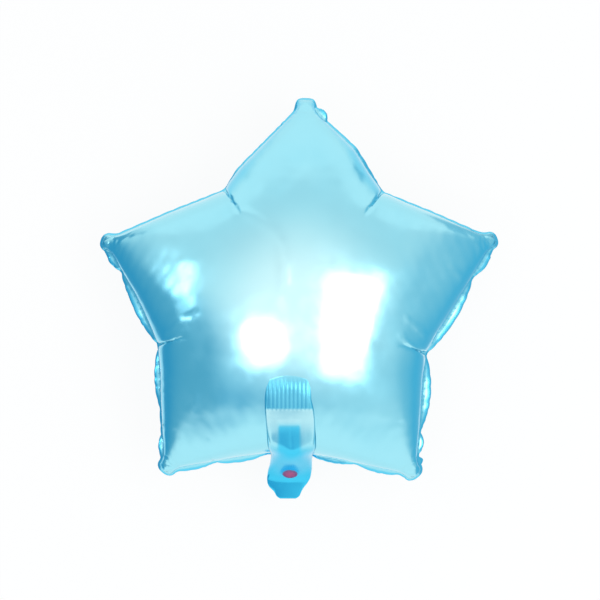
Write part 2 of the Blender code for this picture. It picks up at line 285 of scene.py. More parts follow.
def on_arm(arm, along, off):
    axis = math.pi / 2.0 + arm * 2.0 * HALF_ANGLE
    return Vector((along * math.cos(axis) - off * math.sin(axis),
                   along * math.sin(axis) + off * math.cos(axis)))


def flat_corners():
    """Corners of the seam on the flat films, counterclockwise, as (point, rounding)."""
    corners = []
    for arm in range(ARM_COUNT):
        corners.append((on_arm(arm, FLAT_TIP, -FLAT_TIP_WIDTH / 2.0), FLAT_TIP_ROUND))
        corners.append((on_arm(arm, FLAT_TIP, FLAT_TIP_WIDTH / 2.0), FLAT_TIP_ROUND))
        notch = (FLAT_NOTCH * math.cos(HALF_ANGLE), FLAT_NOTCH * math.sin(HALF_ANGLE))
        corners.append((on_arm(arm, *notch), FLAT_NOTCH_ROUND))
    return corners


def outline_corners():
    """Corners of the blown-up star's welded edge, as (point, rounding)."""
    corners = []
    for arm in range(ARM_COUNT):
        tip = Vector(TIPS[arm])
        before = Vector(NOTCHES[arm - 1])
        after = Vector(NOTCHES[arm])
        axis = (tip - (before + after) / 2.0).normalized()
        side = Vector((-axis.y, axis.x)) * (TIP_WIDTHS[arm] / 2.0)
        foot = tip - axis * TIP_LENGTH
        corners.append((shoulder(foot - side, before, SHOULDERS[arm][0], -1.0), SHOULDER_ROUND))
        corners.append((foot - side, FLARE_ROUND))
        corners.append((tip - side, TIP_ROUNDS[arm]))
        corners.append((tip + side, TIP_ROUNDS[arm]))
        corners.append((foot + side, FLARE_ROUND))
        corners.append((shoulder(foot + side, after, SHOULDERS[arm][1], 1.0), SHOULDER_ROUND))
        corners.append((after, NOTCH_ROUND))
    return corners


def shoulder(foot, notch, place, sign):
    along = notch - foot
    out = Vector((along.y, -along.x)).normalized() * sign
    return foot + along * place[0] + out * place[1]


def inset(corners, width):
    """The same corners moved inwards by the width, with their rounding kept parallel."""
    moved = []
    for i, (point, radius) in enumerate(corners):
        before = (point - corners[i - 1][0]).normalized()
        after = (corners[(i + 1) % len(corners)][0] - point).normalized()
        normal = Vector((-before.y, before.x))
        bisector = (normal + Vector((-after.y, after.x))).normalized()
        convex = before.cross(after) > 0.0
        inner = max(radius - width, 0.002) if convex else radius + width
        moved.append((point + bisector * (width / bisector.dot(normal)), inner))
    return moved


def rounded(corners, spacing):
    """Closed outline through the corners with their arcs, at an even spacing."""
    line = []
    count = len(corners)
    for i in range(count):
        point, radius = corners[i]
        back = (corners[i - 1][0] - point).normalized()
        ahead = (corners[(i + 1) % count][0] - point).normalized()
        half = back.angle(ahead) / 2.0
        centre = point + (back + ahead).normalized() * (radius / math.sin(half))
        start = point + back * (radius / math.tan(half)) - centre
        end = point + ahead * (radius / math.tan(half)) - centre
        turn = math.atan2(start.cross(end), start.dot(end))
        parts = max(2, int(abs(turn) * radius / spacing * 4.0) + 1)
        for j in range(parts + 1):
            c = math.cos(turn * j / parts)
            s = math.sin(turn * j / parts)
            line.append((centre.x + start.x * c - start.y * s,
                         centre.y + start.x * s + start.y * c))
    line = np.array(line + line[:1])
    along = np.concatenate([[0.0], np.cumsum(np.linalg.norm(np.diff(line, axis=0), axis=1))])
    samples = np.arange(int(round(along[-1] / spacing)))
    samples = samples * along[-1] / len(samples)
    return np.stack([np.interp(samples, along, line[:, k]) for k in range(2)], axis=1)


def inside(points, outline):
    result = np.zeros(len(points), bool)
    for (x0, y0), (x1, y1) in zip(outline, np.roll(outline, -1, axis=0)):
        crosses = (y0 > points[:, 1]) != (y1 > points[:, 1])
        cut = (x1 - x0) * (points[:, 1] - y0) / (y1 - y0 + 1e-30) + x0
        result ^= crosses & (points[:, 0] < cut)
    return result


def distance_to(points, outline):
    nearest = np.full(len(points), 1.0)
    for start, end in zip(outline, np.roll(outline, -1, axis=0)):
        edge = end - start
        share = np.clip(((points - start) @ edge) / (edge @ edge), 0.0, 1.0)
        gap = np.linalg.norm(points - (start + share[:, None] * edge), axis=1)
        nearest = np.minimum(nearest, gap)
    return nearest


def lattice(outline):
    """Nested triangular lattices inside the outline: coarse in the middle, finer towards the
    seam and finest along the creases at the notches."""
    reach = int(FLAT_TIP * 2.2 / FINEST) // 4 * 4
    i, j = np.meshgrid(np.arange(-reach, reach + 1), np.arange(-reach, reach + 1))
    points = np.stack([(i + j / 2.0).ravel(), (j * math.sqrt(3.0) / 2.0).ravel()], axis=1) * FINEST
    middle = ((i % 2 == 0) & (j % 2 == 0)).ravel()
    coarse = ((i % 4 == 0) & (j % 4 == 0)).ravel()
    near = np.abs(points).max(axis=1) < FLAT_TIP * 1.02
    points, middle, coarse = points[near], middle[near], coarse[near]
    within = inside(points, outline)
    points, middle, coarse = points[within], middle[within], coarse[within]
    depth = distance_to(points, outline)
    creased = np.zeros(len(points), bool)
    for arm in range(ARM_COUNT):
        inward = -np.array(on_arm(arm, math.cos(HALF_ANGLE), math.sin(HALF_ANGLE)))
        off = points + inward * FLAT_NOTCH
        along = off @ inward
        across = np.abs(off @ np.array([-inward[1], inward[0]]))
        creased |= (across < CREASE_BAND) & (along < NOTCH_CREASE_LENGTH * 1.1)
    kept = coarse & (depth > FINEST * 1.4)
    kept |= middle & (depth < EDGE_BAND) & (depth > FINEST * 1.3)
    kept |= creased & (depth > FINEST * 0.7)
    return points[kept]


def unique_edges(faces):
    edges = np.concatenate([faces[:, [0, 1]], faces[:, [1, 2]], faces[:, [2, 0]]])
    return np.unique(np.sort(edges, axis=1), axis=0)


def opposite_pairs(faces):
    """The two corners that face each other across every inner edge."""
    edges = np.concatenate([faces[:, [0, 1]], faces[:, [1, 2]], faces[:, [2, 0]]])
    facing = np.concatenate([faces[:, 2], faces[:, 0], faces[:, 1]])
    key = np.sort(edges, axis=1)
    order = np.lexsort((key[:, 1], key[:, 0]))
    key = key[order]
    facing = facing[order]
    shared = np.where((key[1:] == key[:-1]).all(axis=1))[0]
    return np.stack([facing[shared], facing[shared + 1]], axis=1)


def independent_groups(pairs, point_count):
    """Splits pairs into groups in which no point appears twice."""
    rng = np.random.default_rng(0)
    left = np.arange(len(pairs))
    groups = []
    while len(left):
        taken = []
        used = np.zeros(point_count, bool)
        open_pairs = left
        for _ in range(6):
            if not len(open_pairs):
                break
            shuffled = open_pairs[rng.permutation(len(open_pairs))]
            rank = np.arange(len(shuffled))
            first = np.full(point_count, len(shuffled))
            np.minimum.at(first, pairs[shuffled, 0], rank)
            np.minimum.at(first, pairs[shuffled, 1], rank)
            free = (first[pairs[shuffled, 0]] == rank) & (first[pairs[shuffled, 1]] == rank)
            taken.append(shuffled[free])
            used[pairs[shuffled[free]].ravel()] = True
            open_pairs = open_pairs[~(used[pairs[open_pairs, 0]] | used[pairs[open_pairs, 1]])]
        group = np.concatenate(taken)
        groups.append(group)
        left = np.setdiff1d(left, group)
    return groups


def smooth(low, high, value):
    t = np.clip((value - low) / (high - low), 0.0, 1.0)
    return t * t * (3.0 - 2.0 * t)


class Bag:
    """Two films that share their seam, held by the lengths they are cut to."""

    def __init__(self):
        seam = rounded(flat_corners(), SEAM_SPACING)
        points = [Vector(p) for p in np.vstack([seam, lattice(seam)])]
        edges = [(i, (i + 1) % len(seam)) for i in range(len(seam))]
        solved = delaunay_2d_cdt(points, edges, [], 1, 1e-7)
        flat = np.array([[v.x, v.y] for v in solved[0]])
        faces = np.array([list(f) for f in solved[2]])
        corner = flat[faces[:, 0]]
        turn = np.cross(flat[faces[:, 1]] - corner, flat[faces[:, 2]] - corner)
        faces[turn < 0] = faces[turn < 0][:, ::-1]
        self.seam = len(seam)
        self.count = len(flat)
        free = np.arange(self.count - self.seam)
        back = np.concatenate([np.arange(self.seam), self.count + free])
        self.front = faces
        self.back = back[faces][:, ::-1]
        self.flat = np.vstack([flat, flat[self.seam:]])
        self.x = np.zeros((len(self.flat), 3))
        self.x[:, :2] = self.flat
        self.x[self.seam:self.count, 2] = 0.001
        self.x[self.count:, 2] = -0.001
        self.v = np.zeros_like(self.x)
        self.hold()

    def hold(self):
        """Edges keep their length, and corners that face each other keep the film smooth."""
        edges = unique_edges(np.concatenate([self.front, self.back]))
        self.ties = self.grouped(edges, GIVE)
        across = np.vstack([opposite_pairs(self.front), opposite_pairs(self.back)])
        self.props = self.grouped(np.unique(np.sort(across, axis=1), axis=0), SMOOTHING)

    def grouped(self, pairs, stiffness):
        rest = np.linalg.norm(self.flat[pairs[:, 0]] - self.flat[pairs[:, 1]], axis=1)
        return [(pairs[g, 0], pairs[g, 1], rest[g], stiffness)
                for g in independent_groups(pairs, len(self.flat))]

    def push(self):
        x = self.x
        f = np.concatenate([self.front, self.back])
        area = np.cross(x[f[:, 1]] - x[f[:, 0]], x[f[:, 2]] - x[f[:, 0]]) / 6.0
        force = np.empty_like(x)
        for k in range(3):
            force[:, k] = np.bincount(f.ravel(), np.repeat(area[:, k], 3), len(x))
        return force

    def settle(self):
        x = self.x
        for step in range(STEPS):
            if step % 2 == 0:
                force = self.push() * PRESSURE
            self.v *= KEPT_SPEED
            self.v += force
            before = x.copy()
            x += self.v
            for pairs in (self.ties, self.props):
                for i, j, rest, stiff in pairs:
                    d = x[i] - x[j]
                    length = np.sqrt((d * d).sum(axis=1)) + 1e-12
                    share = (length - rest) / length * 0.5
                    if pairs is self.props:
                        share = np.minimum(share, 0.0) * stiff
                    else:
                        share = np.where(share > 0.0, share, share * stiff)
                    d *= share[:, None]
                    x[i] -= d
                    x[j] += d
            self.v = x - before


def along_line(line):
    step = np.linalg.norm(np.roll(line, -1, axis=0) - line, axis=1)
    return np.concatenate([[0.0], np.cumsum(step)])


def mark_places(line, tips, notches):
    """Distance along a closed line at which each tip and notch lies, in turn."""
    along = along_line(line)
    places = []
    for pair in zip(tips, notches):
        for point in pair:
            places.append(along[np.argmin(((line - np.array(point)) ** 2).sum(axis=1))])
    return np.array(places), along


def stations(line, tips, notches):
    """Station of each point of a closed line: 0 at the first tip, 1 at its notch, and so on."""
    places, along = mark_places(line, tips, notches)
    total = along[-1]
    first = places[0]
    places = np.append((places - first) % total, total)
    return np.interp((along[:-1] - first) % total, places, np.arange(len(places)))


def fitted(bag):
    """Moves the blown-up bag in plan so that its seam lies on the measured outline."""
    flat_tips = [on_arm(arm, FLAT_TIP, 0.0) for arm in range(ARM_COUNT)]
    notch = (FLAT_NOTCH * math.cos(HALF_ANGLE), FLAT_NOTCH * math.sin(HALF_ANGLE))
    flat_notches = [on_arm(arm, *notch) for arm in range(ARM_COUNT)]
    station = stations(bag.flat[:bag.seam], flat_tips, flat_notches)
    target = rounded(inset(outline_corners(), FLANGE), 0.0005)
    line_station = stations(target, TIPS, NOTCHES)
    order = np.argsort(line_station)
    goal = np.stack([np.interp(station, line_station[order], target[order, k], period=2 * ARM_COUNT)
                     for k in range(2)], axis=1)
    move = goal - bag.x[:bag.seam, :2]
    shape = bag.x.copy()
    shape[:, 2] *= THICKNESS / (shape[:, 2].max() - shape[:, 2].min())
    for i in range(0, len(shape), 512):
        part = bag.x[i:i + 512, :2]
        gap = ((part[:, None, :] - bag.x[None, :bag.seam, :2]) ** 2).sum(axis=2)
        weight = 1.0 / (gap + 1e-8) ** 1.5
        total = weight.sum(axis=1)[:, None]
        shape[i:i + 512, :2] += (weight[:, :, None] * move).sum(axis=1) / total
    shape[:bag.seam, :2] = goal
    shape[:bag.seam, 2] = 0.0
    return shape, station


def outward(line):
    ahead = np.roll(line, -1, axis=0) - np.roll(line, 1, axis=0)
    ahead /= np.linalg.norm(ahead, axis=1)[:, None]
    return np.stack([ahead[:, 1], -ahead[:, 0]], axis=1)


def closed_faces(bag):
    """One closed skin: front film, flange with a top and an underside, back film."""
    seam = bag.seam
    total = len(bag.x)
    i = np.arange(seam)
    j = (i + 1) % seam
    rows = [0, total, total + seam, total + 2 * seam]
    under = np.arange(total)
    under[:seam] = rows[3] + i
    faces = bag.front.tolist() + under[bag.back].tolist()
    for here, there in zip(rows[:-1], rows[1:]):
        faces += np.stack([here + i, there + i, there + j, here + j], axis=1).tolist()
    return faces


def with_flange(points, seam, width, gap):
    """Adds the rows of the flange: its edge on top, its edge below, and the seam below."""
    line = points[:seam]
    out = np.zeros((seam, 3))
    out[:, :2] = outward(line[:, :2]) * width
    half = np.array([0.0, 0.0, gap / 2.0])
    edge = line + out - np.array([0.0, 0.0, width * FLANGE_TILT])
    rows = [edge + half, edge - half, line - half]
    top = points.copy()
    top[:seam] += half
    return np.vstack([top] + rows)


def subdivided(points, faces, levels):
    """Smooth subdivision of a mesh; the same faces always give the same vertex order."""
    mesh = bpy.data.meshes.new("rough")
    mesh.from_pydata(points.tolist(), [], faces)
    obj = bpy.data.objects.new("rough", mesh)
    bpy.context.scene.collection.objects.link(obj)
    modifier = obj.modifiers.new("smooth", "SUBSURF")
    modifier.levels = levels
    modifier.render_levels = levels
    done = obj.evaluated_get(bpy.context.evaluated_depsgraph_get()).to_mesh()
    result = np.empty(len(done.vertices) * 3)
    done.vertices.foreach_get("co", result)
    polygons = np.empty(len(done.loops), dtype=np.int64)
    done.loops.foreach_get("vertex_index", polygons)
    obj.to_mesh_clear()
    bpy.data.objects.remove(obj)
    bpy.data.meshes.remove(mesh)
    return result.reshape(-1, 3), polygons.reshape(-1, 4)


def skin_normals(x, quads):
    cross = np.cross(x[quads[:, 2]] - x[quads[:, 0]], x[quads[:, 3]] - x[quads[:, 1]])
    normal = np.zeros_like(x)
    for k in range(4):
        for axis in range(3):
            normal[:, axis] += np.bincount(quads[:, k], cross[:, axis], len(x))
    return normal / (np.linalg.norm(normal, axis=1)[:, None] + 1e-12)


def seam_frame(flat, line, station):
    """Distance inside the seam, station, and the seam's plan direction out, for each point."""
    nearest = np.empty(len(flat), dtype=np.int64)
    for i in range(0, len(flat), 2048):
        gap = ((flat[i:i + 2048, None, :] - line[None]) ** 2).sum(axis=2)
        nearest[i:i + 2048] = gap.argmin(axis=1)
    ahead = outward(line)
    tangent = np.stack([-ahead[:, 1], ahead[:, 0]], axis=1)
    off = flat - line[nearest]
    depth = -(off * ahead[nearest]).sum(axis=1)
    slide = (off * tangent[nearest]).sum(axis=1)
    step = (np.roll(station, -1) - np.roll(station, 1)) % (2 * ARM_COUNT)
    pace = step / np.linalg.norm(np.roll(line, -1, axis=0) - np.roll(line, 1, axis=0), axis=1)
    place = (station[nearest] + slide * pace[nearest]) % (2 * ARM_COUNT)
    return depth, place, nearest


def lobe_waves(place):
    """How far the welded edge stands out and up at each station."""
    out = np.zeros(len(place))
    lift = np.zeros(len(place))
    for arm, side, start, end, far, up in LOBES:
        share = ((place - 2 * arm) * side) % (2 * ARM_COUNT)
        t = np.clip((share - start) / (end - start), 0.0, 1.0)
        arch = np.sin(np.pi * t) ** 0.8
        out += far * arch
        lift += up * arch
    rng = np.random.default_rng(11)
    ends = [0.0]
    while ends[-1] < 2 * ARM_COUNT:
        ends.append(ends[-1] + rng.uniform(*SMALL_LOBE))
    ends = np.array(ends) * 2 * ARM_COUNT / ends[-1]
    size = rng.uniform(0.3, 1.0, len(ends))
    lobe = np.clip(np.searchsorted(ends, place, side="right") - 1, 0, len(ends) - 2)
    t = (place - ends[lobe]) / (ends[lobe + 1] - ends[lobe])
    calm = smooth(0.0, 0.10, np.abs((place + 1.0) % 2.0 - 1.0))
    out += SMALL_LOBE_OUT * size[lobe] * (np.sin(np.pi * t) - 0.6) * calm
    lift += SMALL_LOBE_OUT * 1.5 * (size[lobe] - 0.6) * np.sin(np.pi * t) * calm
    return out, lift


def nearest_on(points, line):
    """For each point its nearest point on an open line."""
    best = np.full(len(points), 1.0)
    spot = np.zeros_like(points)
    for start, end in zip(line[:-1], line[1:]):
        edge = end - start
        share = np.clip(((points - start) @ edge) / (edge @ edge + 1e-18), 0.0, 1.0)
        on = start + share[:, None] * edge
        gap = ((points - on) ** 2).sum(axis=1)
        closer = gap < best
        best[closer] = gap[closer]
        spot[closer] = on[closer]
    return spot, np.sqrt(best)


def filled_out(points, depth, seam, station):
    """Moves the film out in plan near its seam, where a tight bag stands nearly upright."""
    moved = np.zeros((len(points), 2))
    total = np.zeros(len(points))
    for part in range(2 * ARM_COUNT):
        chosen = np.where(((station - part) % (2 * ARM_COUNT)) <= 1.02)[0]
        line = seam[chosen[np.argsort((station[chosen] - part) % (2 * ARM_COUNT))]]
        spot, gap = nearest_on(points, line)
        step = FILL_OUT * gap / (gap + FILL_OUT) * (1.0 - smooth(FILL_NEAR, FILL_FAR, gap))
        weight = 1.0 / (gap + 0.001) ** 3
        moved += (spot - points) / (gap + 1e-9)[:, None] * (step * weight)[:, None]
        total += weight
    return moved / total[:, None] * (depth > 0.0)[:, None]


def crease(flat, start, inward, length, depth, width):
    """A groove that starts at the seam and fades inwards; zero or below, in metres."""
    across = np.array([-inward[1], inward[0]])
    along = (flat - start) @ inward
    off = (flat - start) @ across
    fade = np.clip(1.0 - along / length, 0.0, 1.0) * smooth(-0.004, 0.001, along)
    narrow = width * (0.5 + 0.5 * fade)
    return -depth * fade * np.exp(-(np.abs(off) / narrow) ** 1.4)


def raised_line(points, start, end, high):
    """A fine line, raised or sunk, that fades out at both ends."""
    length = np.linalg.norm(end - start)
    ahead = (end - start) / length
    along = (points - start) @ ahead
    off = (points - start) @ np.array([-ahead[1], ahead[0]])
    fade = smooth(-0.004, 0.002, along) * (1.0 - smooth(length - 0.002, length + 0.004, along))
    return high * fade * np.exp(-(off / LINE_WIDTH) ** 2)


def pinched(points, notch, strength):
    """Sideways move that presses the two arms together along the crease at a notch."""
    inward = -notch / np.linalg.norm(notch)
    across = np.array([-inward[1], inward[0]])
    along = (points - notch) @ inward
    off = (points - notch) @ across
    fade = strength * (1.0 - smooth(NOTCH_CREASE_LENGTH * 0.4, NOTCH_CREASE_LENGTH, along))
    gap = np.abs(off)
    near = gap * NOTCH_PINCH / (gap + NOTCH_PINCH) * (1.0 - smooth(PINCH_NEAR, PINCH_FAR, gap))
    return -(np.sign(off) * near * fade)[:, None] * across


def film_skin(bag):
    """The finished skin of the bag, with the waves and creases of its welded edge."""
    shape, station = fitted(bag)
    faces = closed_faces(bag)
    flat = np.zeros((len(bag.flat), 3))
    flat[:, :2] = bag.flat
    level = 2
    x, quads = subdivided(with_flange(shape, bag.seam, FLANGE, FILM_GAP), faces, level)
    flat = subdivided(with_flange(flat, bag.seam, FLANGE, 0.0), faces, level)[0][:, :2]
    line = bag.flat[:bag.seam]
    depth, place, nearest = seam_frame(flat, line, station)
    x[:, :2] += filled_out(x[:, :2], depth, shape[:bag.seam, :2], station)
    out, lift = lobe_waves(place)
    share = 1.0 - smooth(-FLANGE, LOBE_REACH, depth)
    direction = outward(shape[:bag.seam, :2])[nearest]
    normal = skin_normals(x, quads)
    front = x[:, 2] > 0.0
    groove = np.zeros(len(x))
    seam_out = outward(line)
    for arm, side, fraction, length, deep in PUCKERS:
        spot = (2 * arm + side * fraction) % (2 * ARM_COUNT)
        i = np.argmin(np.abs(station - spot))
        cut = crease(flat, line[i], -seam_out[i], length, deep, PUCKER_WIDTH)
        groove += np.where(front, cut, 0.0)
    rng = np.random.default_rng(23)
    for spot in np.linspace(0.0, 2 * ARM_COUNT, BACK_PUCKERS, endpoint=False):
        i = np.argmin(np.abs(station - (spot + rng.uniform(0.0, 0.2)) % (2 * ARM_COUNT)))
        length = rng.uniform(*BACK_PUCKER_LENGTH)
        deep = rng.uniform(*BACK_PUCKER_DEPTH)
        cut = crease(flat, line[i], -seam_out[i], length, deep, PUCKER_WIDTH)
        groove += np.where(front, 0.0, cut)
    squeeze = np.zeros((len(x), 2))
    for notch in range(ARM_COUNT):
        i = np.argmin(np.abs(station - (2 * notch + 1)))
        strength = BOTTOM_NOTCH_SHARE if notch == BOTTOM_NOTCH else 1.0
        deep = NOTCH_CREASE_DEPTH * strength
        groove += crease(x[:, :2], shape[i, :2], -shape[i, :2] / np.linalg.norm(shape[i, :2]),
                         NOTCH_CREASE_LENGTH, deep, NOTCH_CREASE_WIDTH)
        squeeze += pinched(x[:, :2], shape[i, :2], strength)
    for start, end, high in LINES:
        raised = raised_line(x[:, :2], np.array(start), np.array(end), high)
        groove += np.where(front, raised, 0.0)
    gap = nearest_on(x[:, :2], np.array(RIDGE))[1]
    ends = np.linalg.norm(x[:, :2] - np.array(RIDGE[-1]), axis=1)
    ridge = RIDGE_HEIGHT * np.exp(-(gap / RIDGE_WIDTH) ** 2) * smooth(0.0, RIDGE_FADE, ends)
    groove += np.where(front, ridge, 0.0)
    x[:, :2] += squeeze * smooth(0.0, 0.003, depth)[:, None]
    groove *= smooth(-0.001, 0.004, depth)
    x[:, :2] += direction * (out * share)[:, None]
    x[:, 2] += lift * share
    x += normal * groove[:, None]
    bottom = x[:, 2].min()
    x[:, 2] = np.maximum(x[:, 2], bottom + REST_SINK) - bottom - REST_SINK
    return x, quads, depth


def film_painted_light(points, quads, depth):
    """Depth of the tint, most of it painted light: paler over the middle as a painted highlight,
    deeper on the flanks that face left or right as painted shade, and deeper on the welded edge as
    painted shade."""
    # Painted shade where the film faces left or right
    side = smooth(*FLANK_SHADE_TILT, np.abs(skin_normals(points, quads)[:, 0]))
    # Painted highlight over the middle
    crown_highlight = 1.0 - smooth(CROWN_HIGHLIGHT_START, CROWN_HIGHLIGHT_END, np.linalg.norm(points[:, :2], axis=1))
    tint_and_painted_light = TINT_FILM + (1.0 - TINT_FILM) * crown_highlight - (TINT_FILM - PAINTED_FLANK_SHADE) * side
    # Painted shade on the welded edge
    return tint_and_painted_light + (PAINTED_FLANGE_SHADE - tint_and_painted_light) * smooth(0.0, -FLANGE * 0.5, depth)


def band_tint_and_painted_light(points):
    """The same for the band and tail: deep on the tail, with a deep field in the channel; deeper
    over the ribs as painted shade, paler just below them as a painted highlight, and deep lines of
    painted shade in the creases along its sides."""
    x, y = points[:, 0], -points[:, 1]
    share = np.linspace(-1.0, 1.0, COLUMNS + 1)
    off = np.abs(np.tile(share, len(points) // (COLUMNS + 1)))
    field = (smooth(STRIP_LEFT - 0.002, STRIP_LEFT + 0.003, x)
             * smooth(STRIP_RIGHT + 0.002, STRIP_RIGHT - 0.003, x)
             * smooth(-STRIP_TOP - 0.002, -STRIP_TOP + 0.006, y))
    # Painted highlight in a pale band just below the ribs
    pale_highlight = smooth(-BAND_END, -BAND_END + 0.002, y) * (1.0 - smooth(*BAND_HIGHLIGHT_FADE, y))
    # Painted shade over the ribs
    ribs = smooth(-BAND_TOP, -BAND_TOP + 0.012, y)
    ribs *= 1.0 - smooth(-BAND_END - 0.001, -BAND_END + 0.001, y)
    tint_and_painted_light = TINT_FILM + (PAINTED_RIB_SHADE - TINT_FILM) * ribs + (PAINTED_BAND_HIGHLIGHT - TINT_FILM) * pale_highlight
    tint_and_painted_light += (TINT_FIELD - tint_and_painted_light) * field
    tint_and_painted_light += (TINT_TAIL - tint_and_painted_light) * smooth(*TAIL_TINT_FADE, y)
    # Painted shade: deep lines in the creases along the band's sides
    line = smooth(CREASE_SHADE_START, CREASE_SHADE_START + 0.02, off)
    line = line * smooth(*CREASE_SHADE_TOP_FADE, y) * (1.0 - smooth(*CREASE_SHADE_END_FADE, y))
    return tint_and_painted_light + (PAINTED_CREASE_SHADE - tint_and_painted_light) * line


def set_value(obj, name, values):
    layer = obj.data.attributes.new(name, "FLOAT", "POINT")
    layer.data.foreach_set("value", np.asarray(values, dtype=np.float32))


def add_object(name, points, faces, material):
    mesh = bpy.data.meshes.new(name)
    mesh.from_pydata(np.asarray(points).tolist(), [], np.asarray(faces).tolist())
    mesh.shade_smooth()
    mesh.materials.append(material)
    obj = bpy.data.objects.new(name, mesh)
    bpy.context.scene.collection.objects.link(obj)
    return obj


def band_points(film):
    """Top and bottom grids of the valve band, its channel and the tail, one strip of film."""
    tree = BVHTree.FromPolygons([Vector(p) for p in film[0]], film[1].tolist())
    seam_z = THICKNESS / 2.0 - REST_SINK
    rows = np.arange(BAND_TOP, TAIL_END, -ROW_STEP)
    rows = np.append(rows[rows > TAIL_END + ROW_STEP * 0.5], TAIL_END)
    share = np.linspace(-1.0, 1.0, COLUMNS + 1)
    left = smooth_line(rows, 1)
    right = smooth_line(rows, 2)
    tops = np.zeros((len(rows), COLUMNS + 1, 3))
    bottoms = np.zeros_like(tops)
    neck_z = np.zeros(COLUMNS + 1)
    neck_slope = np.zeros(COLUMNS + 1)
    for k, row in enumerate(rows):
        arch = BAND_ARCH * max(0.0, (row - BAND_END) / (BAND_TOP - BAND_END))
        join = float(smooth(NECK_START, NECK_END, -row))
        down = min(max((-row - NECK_TOP) / (NECK_FOOT - NECK_TOP), 0.0), 1.0)
        puff = np.interp(-row, *TAIL_PUFF)
        sunk = TAIL_DROOP * max((-row - TAIL_BEND) / (-TAIL_END - TAIL_BEND), 0.0)
        for i, s in enumerate(share):
            x = left[k] + (right[k] - left[k]) * (s + 1.0) / 2.0
            y = row - arch * s * s
            hit = tree.ray_cast(Vector((x, y, 1.0)), Vector((0.0, 0.0, -1.0)))[0]
            base = max(hit.z if hit else seam_z, seam_z)
            lift = band_lift(x, y, s)
            if -row < NECK_TOP:
                slope = (base + lift - neck_z[i]) / ROW_STEP
                neck_slope[i] += (slope - neck_slope[i]) * SLOPE_EASE
                neck_z[i] = base + lift
            tail_z = seam_z + FILM_GAP + puff - sunk + tail_folds(x, y, s)
            bridge = base + lift
            if down > 0.0:
                run = NECK_FOOT - NECK_TOP
                start = neck_z[i] + neck_slope.mean() * run * (down - down * down / 2.0)
                bridge = start + (tail_z - start) * float(smooth(NECK_BEND, 1.0, down))
            side = (1.0 - abs(s) ** BAND_SQUARENESS) * (1.0 - join)
            side += (1.0 - s * s) ** TAIL_ROUNDNESS * join
            ground = base - (sunk - FILM_GAP) * join
            if hit and hit.z > seam_z + 0.001:
                bridge = max(base + lift, bridge)
            top = ground + (bridge - ground) * side - EDGE_SINK * (1.0 - side) * (1.0 - join)
            floor = seam_z - FILM_GAP - sunk - puff * TAIL_UNDER * side
            tops[k, i] = (x, y, top)
            low = min(base, top)
            bottoms[k, i] = (x, y, low - BAND_DEPTH + (floor - low + BAND_DEPTH) * join)
    share = smooth(NECK_TOP - 0.006, NECK_TOP - 0.002, -rows[1:-1])[:, None]
    height = tops[:, :, 2]
    for _ in range(NECK_EASE):
        height[1:-1] += ((height[:-2] + height[2:]) / 2.0 - height[1:-1]) * share * 0.5
    return tops, bottoms


def smooth_line(rows, column):
    """Edge of the band at each row, eased between the measured places."""
    places = np.array(BAND_EDGES)
    value = np.interp(-rows, -places[:, 0], places[:, column])
    for _ in range(EDGE_EASE):
        value[1:-1] = (value[:-2] + 2.0 * value[1:-1] + value[2:]) / 4.0
    return value


def band_lift(x, y, s):
    """Height of the band over the film: ribs above, a puffed channel below."""
    into = BAND_TOP - BAND_ARCH * s * s - y
    ribs = RIB_HEIGHT * (abs(math.sin(math.pi * (x - BAND_LEFT) / RIB_PITCH)) ** 0.9 - 0.5)
    ribs *= float(smooth(0.003, 0.016, into)) * (1.0 - float(smooth(-0.001, 0.002, BAND_END - y)))
    across = float(smooth(STRIP_LEFT - 0.002, STRIP_LEFT + 0.002, x))
    across *= float(smooth(STRIP_RIGHT + 0.002, STRIP_RIGHT - 0.002, x))
    strip = STRIP_SINK * across * float(smooth(-STRIP_TOP - 0.002, -STRIP_TOP + 0.004, -y))
    rim = EDGE_SINK * 0.4 * (1.0 - float(smooth(-0.0005, 0.0035, into)))
    return np.interp(-y, *CHANNEL_RISE) * float(smooth(0.0, 0.020, into)) + ribs - strip - rim


def tail_folds(x, y, s):
    fade = 1.0 - float(smooth(0.150, 0.178, -y))
    wave = FOLD_HEIGHT * fade * math.cos(2.0 * math.pi * (x - FOLD_PLACE) / FOLD_PITCH)
    return wave * (1.0 - s * s)


def band_skin(film):
    tops, bottoms = band_points(film)
    rows, columns = tops.shape[:2]
    count = rows * columns
    points = np.vstack([tops.reshape(-1, 3), bottoms.reshape(-1, 3)])
    k, i = np.meshgrid(np.arange(rows - 1), np.arange(columns - 1), indexing="ij")
    a = (k * columns + i).ravel()
    upper = np.stack([a, a + columns, a + columns + 1, a + 1], axis=1)
    lower = np.stack([a, a + 1, a + columns + 1, a + columns], axis=1) + count
    grid = np.arange(count).reshape(rows, columns)
    rim = np.concatenate([grid[:-1, 0], grid[-1, :-1], grid[:0:-1, -1], grid[0, :0:-1]])
    after = np.roll(rim, -1)
    wall = np.stack([rim, rim + count, after + count, after], axis=1)
    return points, np.concatenate([upper, lower, wall])


